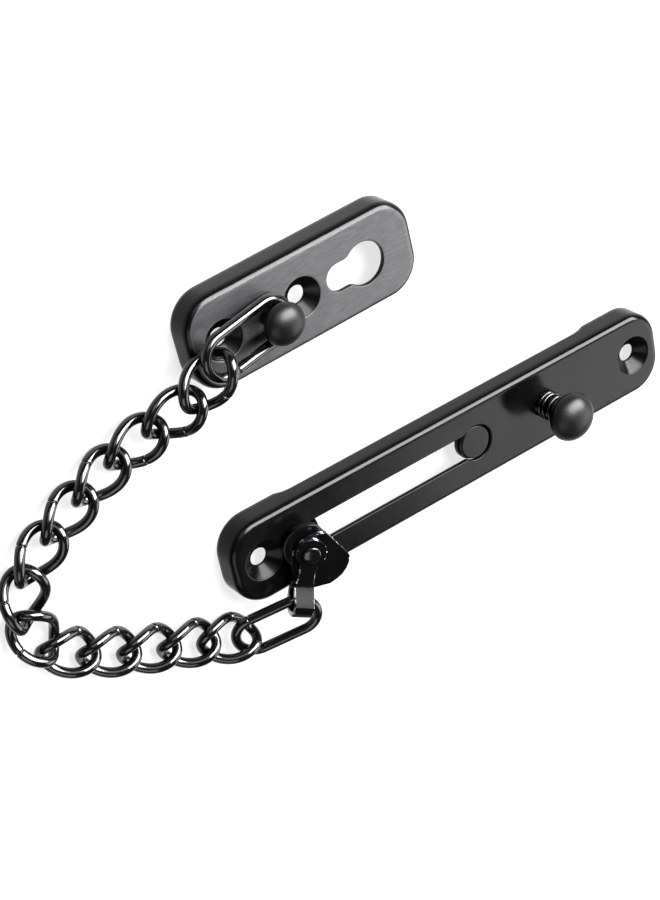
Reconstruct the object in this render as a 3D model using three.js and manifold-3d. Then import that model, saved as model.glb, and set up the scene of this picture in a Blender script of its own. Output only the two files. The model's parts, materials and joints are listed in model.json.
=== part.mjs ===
// A door chain guard laid out flat: a slotted track plate with a sprung latch, a slider riding in
// its slot, a twisted-link chain, and a keeper plate whose post holds the chain's last link.
// Millimetres, +Z up. The back rims of both plates lie in the plane z = 0.

import * as THREE from "three";
import { mergeVertices } from "three/addons/utils/BufferGeometryUtils.js";
import Module from "manifold-3d";

const wasm = await Module();
wasm.setup();

// ---------------------------------------------------------------- driving dimensions

const FIT_GAP = 0.3;
// How far a cutting solid runs past the face that it cuts.
const CUT_PAST = 1;
const PLATE = { height: 6.5, sheet: 1.2, cornerRadius: 8, edgeRadius: 1.8 };
const SCREW_HOLE = { radius: 2.2, headRadius: 4.5, wall: 1.1, lip: 0.9 };

const TRACK = {
  length: 126, width: 21, screwX: 55,
  slotWidth: 6.6, slotStartX: -43.8, entryX: 6, entryRadius: 4.45,
  latchX: 27.5, latchHoleRadius: 2.3, reliefHeight: 1.2, reliefLength: 92,
};
const KEEPER = {
  length: 60, width: 23, turnDeg: 2, screwX: [-21.5, -0.8],
  postX: -9.7, postRadius: 2.2, headRadius: 5, postRise: 4.7, headHeight: 4.4,
  postHoleRadius: 1.8, footRadius: 2.8, footHeight: 1.2,
  keyholeX: 16.3, keyholeRadius: 5.1, keyholeNeckX: 9.4, keyholeNeckRadius: 3.3,
};

const LATCH = {
  stemRadius: 2, headRadius: 6, headUnderside: 13.5, headHeight: 6.2,
  leafWidth: 9, leafThickness: 1, discRadius: 4.1, tailLength: 5.5,
  leafHoleRadius: 1.6, footRadius: 2.5, footHeight: 0.9,
};
const SPRING = { wire: 0.8, meanRadius: 3.1, turns: 4, stepsPerTurn: 12 };

const SLIDER = {
  x: -43.6, leanDeg: 22, headRadius: 4.1, headDepth: 2.2, neckRadius: 2.7, neckLow: -2.7,
  shoulder: 3, rivetRadius: 1.5, rivetHeadRadius: 2, rivetHeadHeight: 0.7,
  collarRadius: 5.9, collarThickness: 1.5, collarFlat: 5, flatDeg: 29,
};
const CLEVIS = {
  turnDeg: -112, thickness: 1.2, width: 4.6, reach: 12, foldRadius: 2.9, foldZ: 7.4,
  lobeRadius: 6.8, lobeFlat: 5.4, lobeOffset: 3.6, lobeHeadingDeg: -59, topLobeRadius: 3.6,
  lowerZ: 5.7, upperZ: 7.2, bendAt: 7.9,
};

const WIRE = 2.4;
const LONG_LINK = { straight: 10.2, radius: 4.7, headingDeg: 195, climbDeg: -26 };
const KEEPER_LINK = { straight: 13.1, radius: 5, turnDeg: 5, riseDeg: 6.5 };
const CURB = { halfLength: 7, halfWidth: 4.8, twistDeg: -45, slack: 1.2 };
// Height of the chain's middle above the surface that it lies on.
const CHAIN_HEIGHT = 3.4;
// From the middle of each long link's end wire in to the point where it meets the chain.
const END_HOOK_DEPTH = 3.2;
const KEEPER_HOOK_DEPTH = 3.2;
const CURB_PITCH = 2 * CURB.halfLength - WIRE - CURB.slack;

// The way each twisted link points in degrees, from the slider's end to the keeper's end.
const CHAIN_HEADINGS = [158, 157, 156, 152, 146, 110, 72, 38, 28, 24, 19, 27, 41];
// The first link comes down from the long link and the last ones climb on to the keeper plate.
const CHAIN_CLIMBS = [-4, 0, 0, 0, 0, 0, 0, 0, 0, 0, 10, 25, 10];
// The end links roll about their length, to pass through the long link and the keeper's.
const CHAIN_ROLLS = [16, 0, 0, 0, 0, 0, 0, 0, 0, 0, -5, -12, -29];

const BLACK = 0x121214;
const COATED = { color: BLACK, roughness: 0.32, metalness: 0.6 };
const POLISHED = { color: 0x1a1a1c, roughness: 0.2, metalness: 0.8 };
const BRUSHED = { color: 0x2b2b2e, roughness: 0.38, metalness: 0.8 };

const rad = THREE.MathUtils.degToRad;

// ---------------------------------------------------------------- solids and geometry

// A closed geometry as a solid that can be cut and joined.
function solid(geometry) {
  const bare = geometry.clone();
  bare.deleteAttribute("normal");
  bare.deleteAttribute("uv");
  const merged = mergeVertices(bare, 1e-4);
  return new wasm.Manifold(new wasm.Mesh({
    numProp: 3,
    vertProperties: new Float32Array(merged.attributes.position.array),
    triVerts: new Uint32Array(merged.index.array),
  }));
}

function geometryOf(body) {
  const mesh = body.getMesh();
  const geometry = new THREE.BufferGeometry();
  geometry.setAttribute("position", new THREE.BufferAttribute(mesh.vertProperties, 3));
  geometry.setIndex(new THREE.BufferAttribute(mesh.triVerts, 1));
  geometry.computeVertexNormals();
  return geometry;
}

// A straight-sided solid between two heights.
function prism(shape, low, high, curveSegments = 10) {
  const geometry = new THREE.ExtrudeGeometry(shape, {
    depth: high - low, bevelEnabled: false, curveSegments,
  });
  return solid(geometry.translate(0, 0, low));
}

function circle(x, y, radius) {
  return new THREE.Shape().absarc(x, y, radius, 0, 2 * Math.PI, false);
}

function rectangle(lowX, lowY, highX, highY) {
  return new THREE.Shape([
    new THREE.Vector2(lowX, lowY), new THREE.Vector2(highX, lowY),
    new THREE.Vector2(highX, highY), new THREE.Vector2(lowX, highY),
  ]);
}

// A turned solid about the Z axis from [radius, height] pairs, lowest first.
function turned(profile, segments = 24) {
  const points = profile.map(([radius, height]) => new THREE.Vector2(radius, height));
  return new THREE.LatheGeometry(points, segments).rotateX(Math.PI / 2);
}

// Points of a dome from its rim up to its crown on the axis.
function dome(rimRadius, rimHeight, crown, steps = 6) {
  return Array.from({ length: steps + 1 }, (_, i) => {
    const angle = (i / steps) * (Math.PI / 2);
    const radius = i === steps ? 0 : rimRadius * Math.cos(angle);
    return [radius, rimHeight + (crown - rimHeight) * Math.sin(angle)];
  });
}

// Corner points of a rectangle with round corners, all with the same count.
function roundedOutline(length, width, radius, perCorner = 7) {
  const points = [];
  for (const [signX, signY, start] of [[1, 1, 0], [-1, 1, 90], [-1, -1, 180], [1, -1, 270]]) {
    for (let i = 0; i < perCorner; i++) {
      const angle = rad(start + (90 * i) / (perCorner - 1));
      points.push(new THREE.Vector2(
        signX * (length / 2 - radius) + radius * Math.cos(angle),
        signY * (width / 2 - radius) + radius * Math.sin(angle),
      ));
    }
  }
  return points;
}

// A solid skinned over outlines of equal point count, stacked from the bottom up.
function stacked(layers) {
  const count = layers[0].outline.length;
  const positions = [];
  const index = [];
  for (const { outline, z } of layers) {
    outline.forEach((point) => positions.push(point.x, point.y, z));
  }
  for (let layer = 0; layer < layers.length - 1; layer++) {
    for (let i = 0; i < count; i++) {
      const here = layer * count + i;
      const next = layer * count + ((i + 1) % count);
      index.push(here, next, next + count, here, next + count, here + count);
    }
  }
  const bottom = positions.length / 3;
  positions.push(0, 0, layers[0].z, 0, 0, layers[layers.length - 1].z);
  const last = (layers.length - 1) * count;
  for (let i = 0; i < count; i++) {
    const next = (i + 1) % count;
    index.push(bottom, next, i, bottom + 1, last + i, last + next);
  }
  const geometry = new THREE.BufferGeometry();
  geometry.setAttribute("position", new THREE.Float32BufferAttribute(positions, 3));
  geometry.setIndex(index);
  return solid(geometry);
}

// A block with round corners in plan and a rolled top edge.
function pressedBlock(length, width, low, high, cornerRadius, edgeRadius, steps = 4) {
  const layers = [{ outline: roundedOutline(length, width, cornerRadius), z: low }];
  for (let i = 0; i <= steps; i++) {
    const angle = (i / steps) * (Math.PI / 2);
    const inset = edgeRadius * (1 - Math.cos(angle));
    layers.push({
      outline: roundedOutline(length - 2 * inset, width - 2 * inset, cornerRadius - inset),
      z: high - edgeRadius + edgeRadius * Math.sin(angle),
    });
  }
  return stacked(layers);
}

// ---------------------------------------------------------------- pressed plates

// A tray pressed from sheet: a face with walls folded back all round, open at the back.
function pressedTray(length, width) {
  const { height, sheet, cornerRadius, edgeRadius } = PLATE;
  const outside = pressedBlock(length, width, 0, height, cornerRadius, edgeRadius);
  const inside = pressedBlock(
    length - 2 * sheet, width - 2 * sheet, -CUT_PAST, height - sheet,
    cornerRadius - sheet, edgeRadius - sheet / 2,
  );
  return outside.subtract(inside);
}

// A countersunk screw hole, dished down from the face with its own wall.
function addScrewHole(plate, x) {
  const { radius, headRadius, wall, lip } = SCREW_HOLE;
  const top = PLATE.height;
  const seat = top - (headRadius - radius);
  const dish = turned([
    [0, seat - lip], [radius + wall, seat - lip], [radius + wall, seat - lip / 3],
    [headRadius + wall, top - PLATE.sheet / 2], [0, top - PLATE.sheet / 2],
  ]);
  const cut = turned([
    [0, seat - 2 * lip], [radius, seat - 2 * lip], [radius, seat],
    [headRadius, top], [headRadius, top + CUT_PAST], [0, top + CUT_PAST],
  ]);
  return plate.add(solid(dish.translate(x, 0, 0))).subtract(solid(cut.translate(x, 0, 0)));
}

function trackPlate() {
  const { length, width, slotWidth, slotStartX, entryX, reliefLength, reliefHeight } = TRACK;
  const low = PLATE.height - PLATE.sheet - CUT_PAST;
  const high = PLATE.height + CUT_PAST;
  const halfSlot = slotWidth / 2;
  let plate = pressedTray(length, width);
  plate = addScrewHole(plate, -TRACK.screwX);
  plate = addScrewHole(plate, TRACK.screwX);
  plate = plate.subtract(prism(rectangle(slotStartX, -halfSlot, entryX, halfSlot), low, high));
  plate = plate.subtract(prism(circle(slotStartX, 0, halfSlot), low, high));
  plate = plate.subtract(prism(circle(entryX, 0, TRACK.entryRadius), low, high));
  plate = plate.subtract(prism(circle(TRACK.latchX, 0, TRACK.latchHoleRadius), low, high));
  // The long walls stop short of the door between the two ends.
  const relief = rectangle(-reliefLength / 2, -width, reliefLength / 2, width);
  return plate.subtract(prism(relief, -CUT_PAST, reliefHeight));
}

function keeperPlate() {
  const low = PLATE.height - PLATE.sheet - CUT_PAST;
  const high = PLATE.height + CUT_PAST;
  const { keyholeX, keyholeRadius, keyholeNeckX, keyholeNeckRadius } = KEEPER;
  let plate = pressedTray(KEEPER.length, KEEPER.width);
  for (const x of KEEPER.screwX) {
    plate = addScrewHole(plate, x);
  }
  const neck = rectangle(keyholeNeckX, -keyholeNeckRadius, keyholeX, keyholeNeckRadius);
  plate = plate.subtract(prism(circle(keyholeX, 0, keyholeRadius), low, high));
  plate = plate.subtract(prism(circle(keyholeNeckX, 0, keyholeNeckRadius), low, high));
  plate = plate.subtract(prism(neck, low, high));
  return plate.subtract(prism(circle(KEEPER.postX, 0, KEEPER.postHoleRadius), low, high));
}

// The keeper's post: a rivet foot behind the sheet, a stem and a domed head.
function keeperPost() {
  const { postRadius, postRise, postHoleRadius, footRadius, footHeight } = KEEPER;
  const { headRadius, headHeight } = KEEPER;
  const back = PLATE.height - PLATE.sheet - FIT_GAP;
  const face = PLATE.height + FIT_GAP;
  const neck = postHoleRadius - FIT_GAP;
  const underside = PLATE.height + postRise;
  return turned([
    [0, back - footHeight], [0.8 * footRadius, back - footHeight],
    [footRadius, back - footHeight / 2], [footRadius, back], [neck, back],
    [neck, face], [postRadius, face], [postRadius, underside],
    [0.8 * headRadius, underside], [0.97 * headRadius, underside + 0.1 * headRadius],
    ...dome(headRadius, underside + 0.25 * headRadius, underside + headHeight),
  ]);
}

// ---------------------------------------------------------------- sprung latch

// The press knob with its stem, riveted over below the leaf.
function latchKnob() {
  const { stemRadius, leafThickness, leafHoleRadius, footRadius, footHeight } = LATCH;
  const { headRadius, headUnderside, headHeight } = LATCH;
  const leafTop = PLATE.height - PLATE.sheet - FIT_GAP;
  const leafBottom = leafTop - leafThickness;
  const footTop = leafBottom - FIT_GAP;
  const neck = leafHoleRadius - FIT_GAP;
  const shoulder = leafTop + FIT_GAP;
  return turned([
    [0, leafBottom - footHeight], [0.8 * footRadius, leafBottom - footHeight],
    [footRadius, footTop], [neck, footTop], [neck, shoulder], [stemRadius, shoulder],
    [stemRadius, headUnderside], [0.55 * headRadius, headUnderside],
    [0.86 * headRadius, headUnderside + 0.15 * headRadius],
    ...dome(headRadius, headUnderside + 0.37 * headRadius, headUnderside + headHeight, 7),
  ]);
}

// The leaf under the face, whose raised disc closes the slot's round entry.
function latchLeaf() {
  const { leafWidth, leafThickness, discRadius, tailLength } = LATCH;
  const top = PLATE.height - PLATE.sheet - FIT_GAP;
  const bottom = top - leafThickness;
  const strip = rectangle(TRACK.entryX, -leafWidth / 2, TRACK.latchX + tailLength, leafWidth / 2);
  const stemHole = circle(TRACK.latchX, 0, LATCH.leafHoleRadius);
  return prism(strip, bottom, top)
    .add(prism(circle(TRACK.entryX, 0, leafWidth / 2), bottom, top))
    .add(prism(circle(TRACK.entryX, 0, discRadius), bottom, PLATE.height - FIT_GAP))
    .subtract(prism(stemHole, bottom - CUT_PAST, top + CUT_PAST));
}

class Helix extends THREE.Curve {
  constructor(radius, low, high, turns) {
    super();
    Object.assign(this, { radius, low, high, turns });
  }

  getPoint(t, target = new THREE.Vector3()) {
    const angle = 2 * Math.PI * this.turns * t;
    const height = this.low + (this.high - this.low) * t;
    return target.set(this.radius * Math.cos(angle), this.radius * Math.sin(angle), height);
  }
}

function latchSpring() {
  const clearance = FIT_GAP + SPRING.wire / 2;
  const low = PLATE.height + clearance;
  const high = LATCH.headUnderside - clearance;
  const path = new Helix(SPRING.meanRadius, low, high, SPRING.turns);
  return new THREE.ExtrudeGeometry(circle(0, 0, SPRING.wire / 2), {
    steps: SPRING.turns * SPRING.stepsPerTurn, curveSegments: 6, extrudePath: path,
  });
}

// ---------------------------------------------------------------- slider

// The slider's rivet: a head that runs under the face, a neck in the slot and a rivet end.
function sliderStud() {
  const { headRadius, headDepth, neckRadius, neckLow, shoulder } = SLIDER;
  const { rivetRadius, rivetHeadRadius, rivetHeadHeight } = SLIDER;
  const bottom = neckLow - headDepth;
  const seat = CLEVIS.upperZ + CLEVIS.thickness / 2 + FIT_GAP;
  return turned([
    [0, bottom], [0.65 * headRadius, bottom], [headRadius, bottom + 0.4 * headDepth],
    [headRadius, neckLow], [neckRadius, neckLow], [neckRadius, shoulder],
    [rivetRadius, shoulder], [rivetRadius, seat], [rivetHeadRadius, seat],
    ...dome(rivetHeadRadius, seat + 0.4 * rivetHeadHeight, seat + rivetHeadHeight, 4),
  ]);
}

// A disc with one straight side.
function flattedDisc(radius, flat, low, high) {
  const beyond = rectangle(flat, -2 * radius, 2 * radius, 2 * radius);
  return prism(circle(0, 0, radius), low, high)
    .subtract(prism(beyond, low - CUT_PAST, high + CUT_PAST))
    .rotate(0, 0, SLIDER.flatDeg);
}

function rivetHole(low, high) {
  return prism(circle(0, 0, SLIDER.rivetRadius + FIT_GAP), low - CUT_PAST, high + CUT_PAST);
}

function sliderCollar() {
  const { collarRadius, collarFlat, collarThickness } = SLIDER;
  const low = SLIDER.shoulder + FIT_GAP;
  const high = low + collarThickness;
  return flattedDisc(collarRadius, collarFlat, low, high).subtract(rivetHole(low, high));
}

// The side view of the folded strap: along the lower leg, round the fold, back along the upper.
function clevisProfile() {
  const { reach, foldRadius, foldZ, thickness, lowerZ, upperZ, bendAt } = CLEVIS;
  const middle = foldRadius + thickness / 2;
  const path = [[-SLIDER.rivetHeadRadius, lowerZ], [bendAt, lowerZ]];
  for (let angle = -115; angle <= 85; angle += 20) {
    path.push([reach + middle * Math.cos(rad(angle)), foldZ + middle * Math.sin(rad(angle))]);
  }
  path.push([bendAt + thickness, upperZ + thickness / 4], [0, upperZ]);
  const points = path.map(([x, y]) => new THREE.Vector2(x, y));
  const side = (sign) => points.map((point, i) => {
    const before = points[Math.max(i - 1, 0)];
    const after = points[Math.min(i + 1, points.length - 1)];
    const along = after.clone().sub(before).normalize();
    return new THREE.Vector2(-along.y, along.x).multiplyScalar((sign * thickness) / 2).add(point);
  });
  return new THREE.Shape([...side(-1), ...side(1).reverse()]);
}

// The lower end of the clevis: a flatted lobe set off to one side, narrowing towards the fold.
function clevisLowerLeg() {
  const { turnDeg, width, thickness, lobeRadius, lobeFlat, lowerZ } = CLEVIS;
  const low = lowerZ - thickness / 2;
  const high = lowerZ + thickness / 2;
  const heading = rad(CLEVIS.lobeHeadingDeg);
  const lobe = flattedDisc(lobeRadius, lobeFlat, low, high)
    .translate(CLEVIS.lobeOffset * Math.cos(heading), CLEVIS.lobeOffset * Math.sin(heading), 0);
  const leg = rectangle(0, -width / 2, CLEVIS.bendAt, width / 2);
  return wasm.Manifold.hull([lobe, prism(leg, low, high).rotate(0, 0, turnDeg)]);
}

// The clevis: a strap folded round the long link, with both ends riveted to the slider.
function sliderClevis() {
  const { width, thickness, topLobeRadius, lowerZ, upperZ } = CLEVIS;
  const strap = new THREE.ExtrudeGeometry(clevisProfile(), { depth: width, bevelEnabled: false });
  strap.translate(0, 0, -width / 2).rotateX(Math.PI / 2);
  const half = thickness / 2;
  return solid(strap)
    .rotate(0, 0, CLEVIS.turnDeg)
    .add(clevisLowerLeg())
    .add(prism(circle(0, 0, topLobeRadius), upperZ - half, upperZ + half))
    .subtract(rivetHole(lowerZ - half, upperZ + half));
}

// ---------------------------------------------------------------- chain links

// A flat oval of wire: two straight sides joined by half circles.
class OvalRing extends THREE.Curve {
  constructor(straight, radius) {
    super();
    Object.assign(this, { straight, radius });
  }

  getPoint(t, target = new THREE.Vector3()) {
    const arc = Math.PI * this.radius;
    const half = this.straight / 2;
    let distance = (t % 1) * 2 * (this.straight + arc);
    const flip = distance >= this.straight + arc ? -1 : 1;
    distance -= flip < 0 ? this.straight + arc : 0;
    if (distance < this.straight) {
      return target.set(flip * (distance - half), -flip * this.radius, 0);
    }
    const angle = (distance - this.straight) / this.radius;
    const x = half + this.radius * Math.sin(angle);
    return target.set(flip * x, -flip * this.radius * Math.cos(angle), 0);
  }
}

// A curb link: an oval twisted along its length so that it lies flat in a chain.
class TwistedRing extends THREE.Curve {
  getPoint(t, target = new THREE.Vector3()) {
    const angle = 2 * Math.PI * t;
    const across = CURB.halfWidth * Math.sin(angle);
    const twist = rad(CURB.twistDeg) * Math.cos(angle);
    return target.set(
      CURB.halfLength * Math.cos(angle), across * Math.cos(twist), across * Math.sin(twist),
    );
  }
}

function wireRing(curve, segments, sides) {
  return new THREE.TubeGeometry(curve, segments, WIRE / 2, sides, true);
}

// ---------------------------------------------------------------- assembly

const guard = new THREE.Group();

function place(name, shape, look, parent = guard) {
  const geometry = shape.isBufferGeometry ? shape : geometryOf(shape);
  const mesh = new THREE.Mesh(geometry, new THREE.MeshStandardMaterial(look));
  mesh.name = name;
  parent.add(mesh);
  return mesh;
}

function directionOf(headingDeg, climbDeg) {
  const level = Math.cos(rad(climbDeg));
  return new THREE.Vector3(
    level * Math.cos(rad(headingDeg)), level * Math.sin(rad(headingDeg)), Math.sin(rad(climbDeg)),
  );
}

// Track plate and latch.
place("track_plate", trackPlate(), COATED);
place("latch_knob", latchKnob(), POLISHED).position.x = TRACK.latchX;
place("latch_leaf", latchLeaf(), COATED);
place("latch_spring", latchSpring(), POLISHED).position.x = TRACK.latchX;

// Slider, leaning towards the chain in the slot.
const slider = new THREE.Group();
slider.position.set(SLIDER.x, 0, PLATE.height - PLATE.sheet / 2);
slider.rotation.y = -rad(SLIDER.leanDeg);
guard.add(slider);
place("slider_stud", sliderStud(), POLISHED, slider);
place("slider_collar", sliderCollar(), POLISHED, slider);
place("slider_clevis", sliderClevis(), COATED, slider);

// The long link hangs in the clevis's fold and runs down to the surface.
slider.updateMatrixWorld(true);
const strapWay = new THREE.Vector2(Math.cos(rad(CLEVIS.turnDeg)), Math.sin(rad(CLEVIS.turnDeg)));
const fold = new THREE.Vector3(
  CLEVIS.reach * strapWay.x, CLEVIS.reach * strapWay.y, CLEVIS.foldZ,
).applyMatrix4(slider.matrixWorld);
const foldAxis = new THREE.Vector3(strapWay.y, -strapWay.x, 0).transformDirection(slider.matrixWorld);
const linkWay = directionOf(LONG_LINK.headingDeg, LONG_LINK.climbDeg);
const linkSide = foldAxis.clone().projectOnPlane(linkWay).normalize();
const linkNormal = new THREE.Vector3().crossVectors(linkWay, linkSide);
const offAxis = foldAxis.angleTo(linkWay);
const toFold = linkSide.clone().multiplyScalar(Math.cos(offAxis))
  .addScaledVector(linkWay, -Math.sin(offAxis));
const nearArc = fold.clone().addScaledVector(toFold, -LONG_LINK.radius);
const longLink = place(
  "end_link", wireRing(new OvalRing(LONG_LINK.straight, LONG_LINK.radius), 40, 8), POLISHED,
);
longLink.quaternion.setFromRotationMatrix(
  new THREE.Matrix4().makeBasis(linkWay, linkSide, linkNormal),
);
longLink.position.copy(nearArc).addScaledVector(linkWay, LONG_LINK.straight / 2);

// The twisted links, each hooked in the one before.
const hook = longLink.position.clone()
  .addScaledVector(linkWay, LONG_LINK.straight / 2 + LONG_LINK.radius - END_HOOK_DEPTH)
  .setZ(CHAIN_HEIGHT - CURB_PITCH * Math.sin(rad(CHAIN_CLIMBS[0])));
CHAIN_HEADINGS.forEach((heading, i) => {
  const way = directionOf(heading, CHAIN_CLIMBS[i]);
  const number = String(CHAIN_HEADINGS.length - i).padStart(2, "0");
  const link = place(`chain_link_${number}`, wireRing(new TwistedRing(), 26, 6), POLISHED);
  link.rotation.order = "ZYX";
  link.rotation.set(rad(CHAIN_ROLLS[i]), -rad(CHAIN_CLIMBS[i]), rad(heading));
  link.position.copy(hook).addScaledVector(way, CURB_PITCH / 2);
  hook.addScaledVector(way, CURB_PITCH);
});

// Keeper plate, its post and the flat link looped over the post.
const keeper = new THREE.Group();
keeper.rotation.z = rad(KEEPER.turnDeg);
guard.add(keeper);
place("keeper_plate", keeperPlate(), BRUSHED, keeper);
place("keeper_post", keeperPost(), POLISHED, keeper).position.x = KEEPER.postX;
const loop = new THREE.Group();
loop.position.set(KEEPER.postX, 0, PLATE.height + 2 * FIT_GAP + WIRE / 2);
loop.rotation.order = "ZYX";
loop.rotation.set(0, rad(KEEPER_LINK.riseDeg), rad(KEEPER_LINK.turnDeg));
keeper.add(loop);
const loopLink = place(
  "keeper_link", wireRing(new OvalRing(KEEPER_LINK.straight, KEEPER_LINK.radius), 40, 8),
  POLISHED, loop,
);
const loopEnd = KEEPER_LINK.straight / 2 + KEEPER_LINK.radius;
loopLink.position.x = KEEPER.postRadius + FIT_GAP + WIRE / 2 - loopEnd;

// The keeper lies where its link's free end meets the chain.
keeper.updateMatrixWorld(true);
const freeEnd = new THREE.Vector3(KEEPER_HOOK_DEPTH - loopEnd, 0, 0).applyMatrix4(loopLink.matrixWorld);
keeper.position.set(hook.x - freeEnd.x, hook.y - freeEnd.y, 0);

// The origin is the middle of the footprint, on the surface that the guard lies on.
const reach = new THREE.Box3().setFromObject(guard, true);
const middle = reach.getCenter(new THREE.Vector3());
guard.position.set(-middle.x, -middle.y, -reach.min.z);

export default guard;
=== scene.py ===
import json
import math

import bmesh
import bpy
import numpy as np
from mathutils import Matrix, Vector
from mathutils.geometry import convex_hull_2d, tessellate_polygon


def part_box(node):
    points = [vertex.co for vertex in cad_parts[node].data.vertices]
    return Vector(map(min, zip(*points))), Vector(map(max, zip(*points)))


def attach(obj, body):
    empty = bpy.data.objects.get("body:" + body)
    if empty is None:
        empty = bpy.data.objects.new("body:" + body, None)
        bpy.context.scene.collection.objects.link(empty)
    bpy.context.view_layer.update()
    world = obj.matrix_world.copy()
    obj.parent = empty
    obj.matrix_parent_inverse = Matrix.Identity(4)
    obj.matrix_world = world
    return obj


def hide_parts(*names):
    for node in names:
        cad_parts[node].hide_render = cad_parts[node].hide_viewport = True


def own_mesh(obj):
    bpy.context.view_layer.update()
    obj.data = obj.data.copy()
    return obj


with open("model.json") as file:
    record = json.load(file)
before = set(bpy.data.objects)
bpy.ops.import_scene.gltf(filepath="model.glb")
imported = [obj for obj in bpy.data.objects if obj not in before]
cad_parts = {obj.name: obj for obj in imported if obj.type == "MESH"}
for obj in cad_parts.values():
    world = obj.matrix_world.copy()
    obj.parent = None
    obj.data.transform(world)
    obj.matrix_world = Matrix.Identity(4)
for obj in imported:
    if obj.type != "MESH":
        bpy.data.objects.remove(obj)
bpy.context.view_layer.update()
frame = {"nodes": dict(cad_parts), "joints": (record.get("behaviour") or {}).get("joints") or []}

# A door chain guard, laid out flat: a slotted track plate with a sprung latch and a slider,
# a twisted-link chain, and a keeper plate with a domed post. Sizes below are in millimetres.

MM = 0.001

# ------------------------------------------------------------------ sizes

GAP = 0.3
HEIGHT = 6.5
SHEET = 1.2
CORNER = 8.0
ROLL = 1.8
EDGE = 0.22
FLAT_MARGIN = 0.35
SIDE_POINTS = (60, 6)
WALL_BLEND_HEIGHT = 1.0
WALL_BLEND_SHARE = 0.6

SCREW_RADIUS = 2.2
SCREW_HEAD_RADIUS = 4.5
DISH_WALL = 1.1
DISH_LIP = 0.9
DISH_SHOULDER = 0.55
TOOL_RINGS = 4
TOOL_RING_DEPTH = 0.07
TOOL_RING_STEPS = 6

TRACK_LENGTH = 126.0
TRACK_WIDTH = 21.0
TRACK_SCREW_X = 55.0
SLOT_RADIUS = 3.3
SLOT_START = -43.8
ENTRY_X = 6.0
ENTRY_RADIUS = 4.45
ENTRY_FLARE = 1.2
LATCH_X = 27.5
LATCH_HOLE_RADIUS = 2.3
RELIEF_HEIGHT = 1.2
RELIEF_END = 46.0
RELIEF_BLEND = 3.0

KEEPER_LENGTH = 60.0
KEEPER_WIDTH = 23.0
KEEPER_TURN = 2.0
KEEPER_SCREWS = (-21.5, -0.8)
POST_X = -9.7
POST_RADIUS = 2.2
POST_HOLE_RADIUS = 1.8
POST_HEAD_RADIUS = 5.0
POST_RISE = 4.7
POST_HEAD_HEIGHT = 4.4
POST_FOOT_RADIUS = 2.8
POST_FOOT_HEIGHT = 1.2
KEYHOLE_X = 16.3
KEYHOLE_RADIUS = 5.1
KEYHOLE_NECK_X = 9.4
KEYHOLE_NECK_RADIUS = 3.3
KEYHOLE_FLARE = 2.5

STEM_RADIUS = 2.0
KNOB_RADIUS = 6.0
KNOB_UNDERSIDE = 13.5
KNOB_HEIGHT = 6.2
LEAF_WIDTH = 9.0
LEAF_THICKNESS = 1.0
LEAF_TAIL = 5.5
LEAF_HOLE_RADIUS = 1.6
LEAF_FOOT_RADIUS = 2.5
LEAF_FOOT_HEIGHT = 0.9
DISC_RADIUS = 4.1

SPRING_WIRE = 0.8
SPRING_RADIUS = 3.1
SPRING_TURNS = 4
SPRING_CLOSING = 0.09

STUD_HEAD_RADIUS = 4.1
STUD_HEAD_DEPTH = 2.2
STUD_NECK_RADIUS = 2.7
STUD_NECK_LOW = -2.7
STUD_SHOULDER = 3.0
# The clevis's turn joint has its point this far up the stud from the slot.
STUD_TURN_POINT = 5.0
RIVET_RADIUS = 1.5
RIVET_HEAD_RADIUS = 2.0
RIVET_HEAD_HEIGHT = 0.7
COLLAR_RADIUS = 5.9
COLLAR_THICKNESS = 1.5
COLLAR_FLAT = 5.0
COLLAR_EASE = 0.3
FLAT_TURN = 29.0

STRAP_TURN = -112.0
STRAP_THICKNESS = 1.2
STRAP_HALF_WIDTH = 2.3
STRAP_EASE = 0.18
FOLD_REACH = 12.0
FOLD_RADIUS = 2.9
FOLD_Z = 7.4
FOLD_ANGLES = (-115, 85)
STRAP_BEND = 7.9
WAIST_X = 5.5
WAIST_DEPTH = 0.35
WAIST_REACH = 2.5
# Depth in mm, radians per mm of length, and shift of the waves along the strap's sheared edges.
TORN_WAVES = ((0.06, 5.3, 0), (0.04, 13.7, 1))
LOBE_RADIUS = 6.8
LOBE_FLAT = 5.4
LOBE_OFFSET = 3.6
LOBE_HEADING = -59.0
TOP_LOBE_RADIUS = 3.6
LOWER_Z = 5.7
UPPER_Z = 7.2

WIRE_RADIUS = 1.19
LONG_LINK = (10.2, 4.7)
KEEPER_LINK = (13.1, 5.0)
CURB_HALF_LENGTH = 7.0
CURB_HALF_WIDTH = 4.8
CURB_TWIST = math.radians(-45)
LINK_COUNT = 13
RING_STEPS = 112
SEAM_DEPTH = 0.3
SEAM_WIDTH = 0.16
# Where the wire's ends meet, as shares of the way round.
CURB_SEAM = 0.25
OVAL_SEAM = 0.2

# ------------------------------------------------------------------ camera

TRACK_LOW, TRACK_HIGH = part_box("track_plate")
TRACK_AT = Vector(((TRACK_LOW.x + TRACK_HIGH.x) / 2, (TRACK_LOW.y + TRACK_HIGH.y) / 2, 0))
KEEPER_LOW, KEEPER_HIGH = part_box("keeper_plate")
KEEPER_AT = Vector(((KEEPER_LOW.x + KEEPER_HIGH.x) / 2, (KEEPER_LOW.y + KEEPER_HIGH.y) / 2, 0))

CAMERA_LENS = 96
CAMERA_OFFSET = Vector((-0.2556, 0.2956, 0.4069))
CAMERA_RIGHT = Vector((0.800, -0.182, 0.572))
CAMERA_BACK = Vector((-0.416, 0.518, 0.747))


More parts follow.
